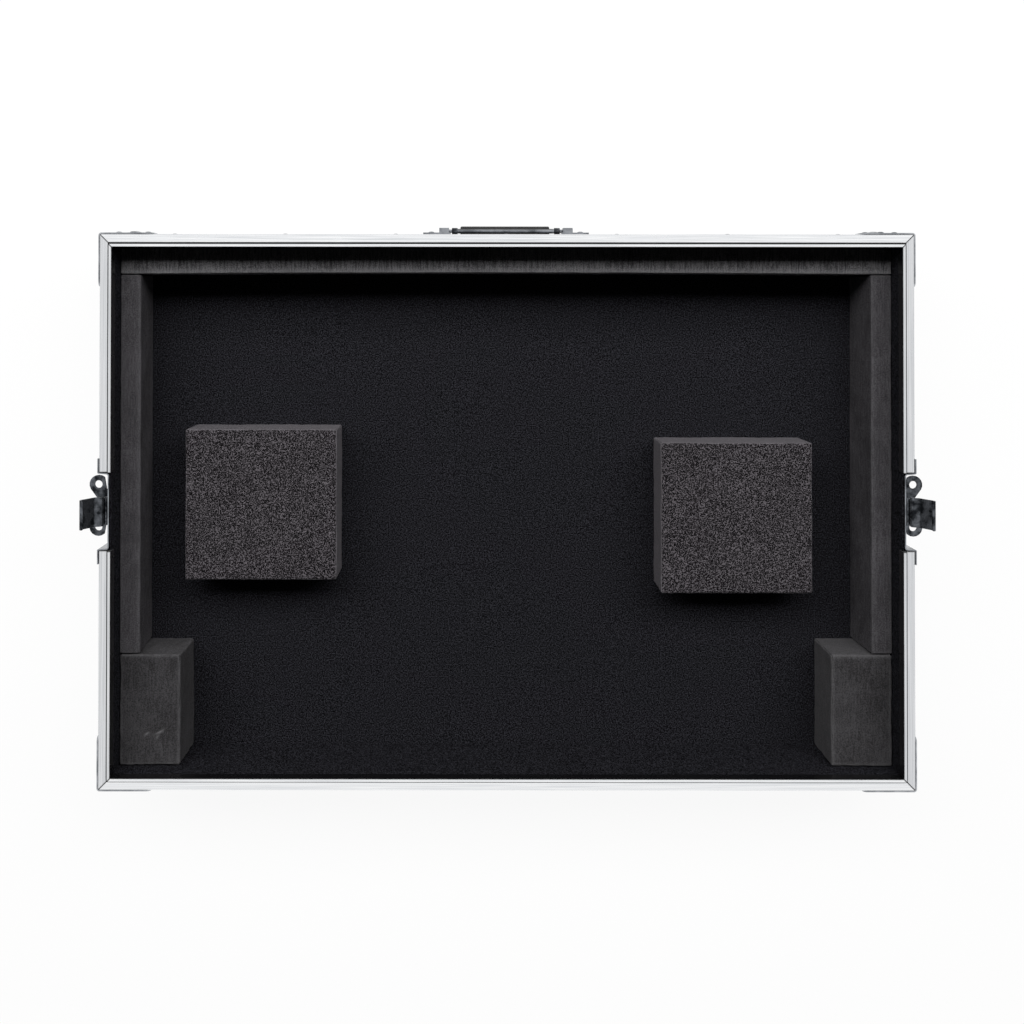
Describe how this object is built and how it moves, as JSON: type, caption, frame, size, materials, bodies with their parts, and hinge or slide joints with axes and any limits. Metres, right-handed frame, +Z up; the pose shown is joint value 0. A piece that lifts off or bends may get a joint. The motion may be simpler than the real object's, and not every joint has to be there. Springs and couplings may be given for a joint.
{
  "type": "dj controller flight case",
  "caption": "Latch half of a flight case for a dj controller: aluminium-edged panel tray with foam fittings, a folding handle, and a recessed twist latch on each side.",
  "frame": {"origin": "centre of the part's box, at the surface that its feet stand on", "axes": "+Z up out of the open side, -Y to the front with the handle, +X to the right as seen from the front"},
  "size_m": [0.8608, 0.5788, 0.1337],
  "materials": {
    "extrusion": "satin natural anodised extrusion",
    "plated_steel": "bright zinc plated pressed steel",
    "laminated_panel": "plywood faced with black textured laminate",
    "eva_lining": "black closed-cell foam sheet with a fine pebbled face",
    "dense_foam": "dense charcoal foam, sawn faces",
    "open_cell_foam": "charcoal open-cell foam, cut faces with visible cells",
    "grip_rubber": "matte black moulded rubber",
    "foot_rubber": "matte black moulded rubber"
  },
  "bodies": {
    "case": {"front_rim_extrusion": "extrusion", "rear_rim_extrusion": "extrusion", "left_front_rim_extrusion": "extrusion", "left_rear_rim_extrusion": "extrusion", "right_front_rim_extrusion": "extrusion", "right_rear_rim_extrusion": "extrusion", "front_bottom_angle": "extrusion", "rear_bottom_angle": "extrusion", "left_bottom_angle": "extrusion", "right_bottom_angle": "extrusion", "front_left_corner_angle": "extrusion", "front_right_corner_angle": "extrusion", "rear_left_corner_angle": "extrusion", "rear_right_corner_angle": "extrusion", "front_left_ball_corner": "plated_steel", "front_left_rim_brace": "plated_steel", "front_right_ball_corner": "plated_steel", "front_right_rim_brace": "plated_steel", "rear_left_ball_corner": "plated_steel", "rear_left_rim_brace": "plated_steel", "rear_right_ball_corner": "plated_steel", "rear_right_rim_brace": "plated_steel", "left_latch_dish": "plated_steel", "right_latch_dish": "plated_steel", "handle_plate": "plated_steel", "handle_axle": "plated_steel", "floor_panel": "laminated_panel", "front_wall": "laminated_panel", "rear_wall": "laminated_panel", "left_wall": "laminated_panel", "right_wall": "laminated_panel", "floor_lining": "eva_lining", "wall_lining": "eva_lining", "front_foam_strip": "dense_foam", "left_foam_strip": "dense_foam", "right_foam_strip": "dense_foam", "left_foam_corner_block": "dense_foam", "right_foam_corner_block": "dense_foam", "left_foam_pad": "open_cell_foam", "right_foam_pad": "open_cell_foam", "front_left_foot": "foot_rubber", "front_right_foot": "foot_rubber", "rear_left_foot": "foot_rubber", "rear_right_foot": "foot_rubber"},
    "handle": {"handle_bail": "plated_steel", "handle_grip": "grip_rubber"},
    "left_rotor": {"left_latch_rotor": "plated_steel", "left_wing_pin": "plated_steel"},
    "left_wing": {"left_latch_wing": "plated_steel"},
    "left_draw_plate": {"left_latch_draw_plate": "plated_steel", "left_hook_pin": "plated_steel"},
    "left_hook": {"left_latch_hook": "plated_steel"},
    "right_rotor": {"right_latch_rotor": "plated_steel", "right_wing_pin": "plated_steel"},
    "right_wing": {"right_latch_wing": "plated_steel"},
    "right_draw_plate": {"right_latch_draw_plate": "plated_steel", "right_hook_pin": "plated_steel"},
    "right_hook": {"right_latch_hook": "plated_steel"}
  },
  "joints": [
    {"name": "handle_swing", "type": "hinge", "parent": "case", "child": "handle", "pos_m": [0, -0.28215, 0.0755], "axis": [-1, 0, 0], "range_deg": [0, 95]},
    {"name": "left_latch_twist", "type": "hinge", "parent": "case", "child": "left_rotor", "pos_m": [-0.4035, 0.00205, 0.078], "axis": [-1, 0, 0], "range_deg": [0, 180]},
    {"name": "left_wing_fold", "type": "hinge", "parent": "left_rotor", "child": "left_wing", "pos_m": [-0.4075, 0.00205, 0.078], "axis": [0, -1, 0], "range_deg": [0, 90]},
    {"name": "left_hook_draw", "type": "slide", "parent": "case", "child": "left_draw_plate", "axis": [0, 0, -1], "range_m": [0, 0.012]},
    {"name": "left_hook_tilt", "type": "hinge", "parent": "left_draw_plate", "child": "left_hook", "pos_m": [-0.4036, 0.00205, 0.108], "axis": [0, 1, 0], "range_deg": [0, 33]},
    {"name": "right_latch_twist", "type": "hinge", "parent": "case", "child": "right_rotor", "pos_m": [0.4035, 0.00205, 0.078], "axis": [1, 0, 0], "range_deg": [0, 180]},
    {"name": "right_wing_fold", "type": "hinge", "parent": "right_rotor", "child": "right_wing", "pos_m": [0.4075, 0.00205, 0.078], "axis": [0, 1, 0], "range_deg": [0, 90]},
    {"name": "right_hook_draw", "type": "slide", "parent": "case", "child": "right_draw_plate", "axis": [0, 0, -1], "range_m": [0, 0.012]},
    {"name": "right_hook_tilt", "type": "hinge", "parent": "right_draw_plate", "child": "right_hook", "pos_m": [0.4036, 0.00205, 0.108], "axis": [0, -1, 0], "range_deg": [0, 33]}
  ],
  "couplings": [
    {"joint": "left_latch_twist", "follows": "left_hook_draw", "rad_per_m": 261.79},
    {"joint": "right_latch_twist", "follows": "right_hook_draw", "rad_per_m": 261.79}
  ]
}
